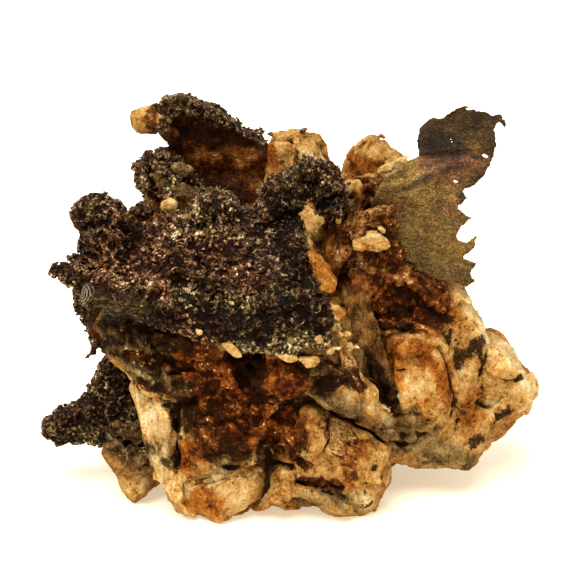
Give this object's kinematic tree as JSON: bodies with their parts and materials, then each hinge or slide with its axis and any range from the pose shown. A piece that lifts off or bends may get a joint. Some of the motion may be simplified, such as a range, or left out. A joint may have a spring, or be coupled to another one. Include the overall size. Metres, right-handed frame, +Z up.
{
  "type": "mineral specimen",
  "caption": "Kongsbergite mineral specimen: thick crusted plates and a thin torn leaf of tarnished native silver on a rugged matrix of stained calcite blocks.",
  "frame": {"origin": "under the middle of the specimen, on the surface it rests on", "axes": "+Z up, +X to the right along the longest side and +Y to the back, as seen from the show side"},
  "size_m": [0.0616, 0.0402, 0.0475],
  "materials": {
    "calcite": "cream and golden calcite with iron-orange, red-brown and black stains, waxy",
    "crust": "dark brown to black granular silver crust with small bright glints",
    "silver": "tarnished olive-brown leaf silver with fine wavy lines, satin",
    "pale_calcite": "cream calcite, waxy"
  },
  "bodies": {
    "root": {"matrix_rock": "calcite", "crusted_plate": "crust", "back_plate": "crust", "left_spike": "crust", "left_flap": "crust", "silver_leaf": "silver", "silver_blade": "silver", "calcite_tip": "pale_calcite", "calcite_grain_1": "pale_calcite", "calcite_grain_2": "pale_calcite", "calcite_grain_3": "pale_calcite", "calcite_grain_4": "pale_calcite", "calcite_grain_5": "pale_calcite", "calcite_grain_6": "pale_calcite"}
  },
  "joints": []
}
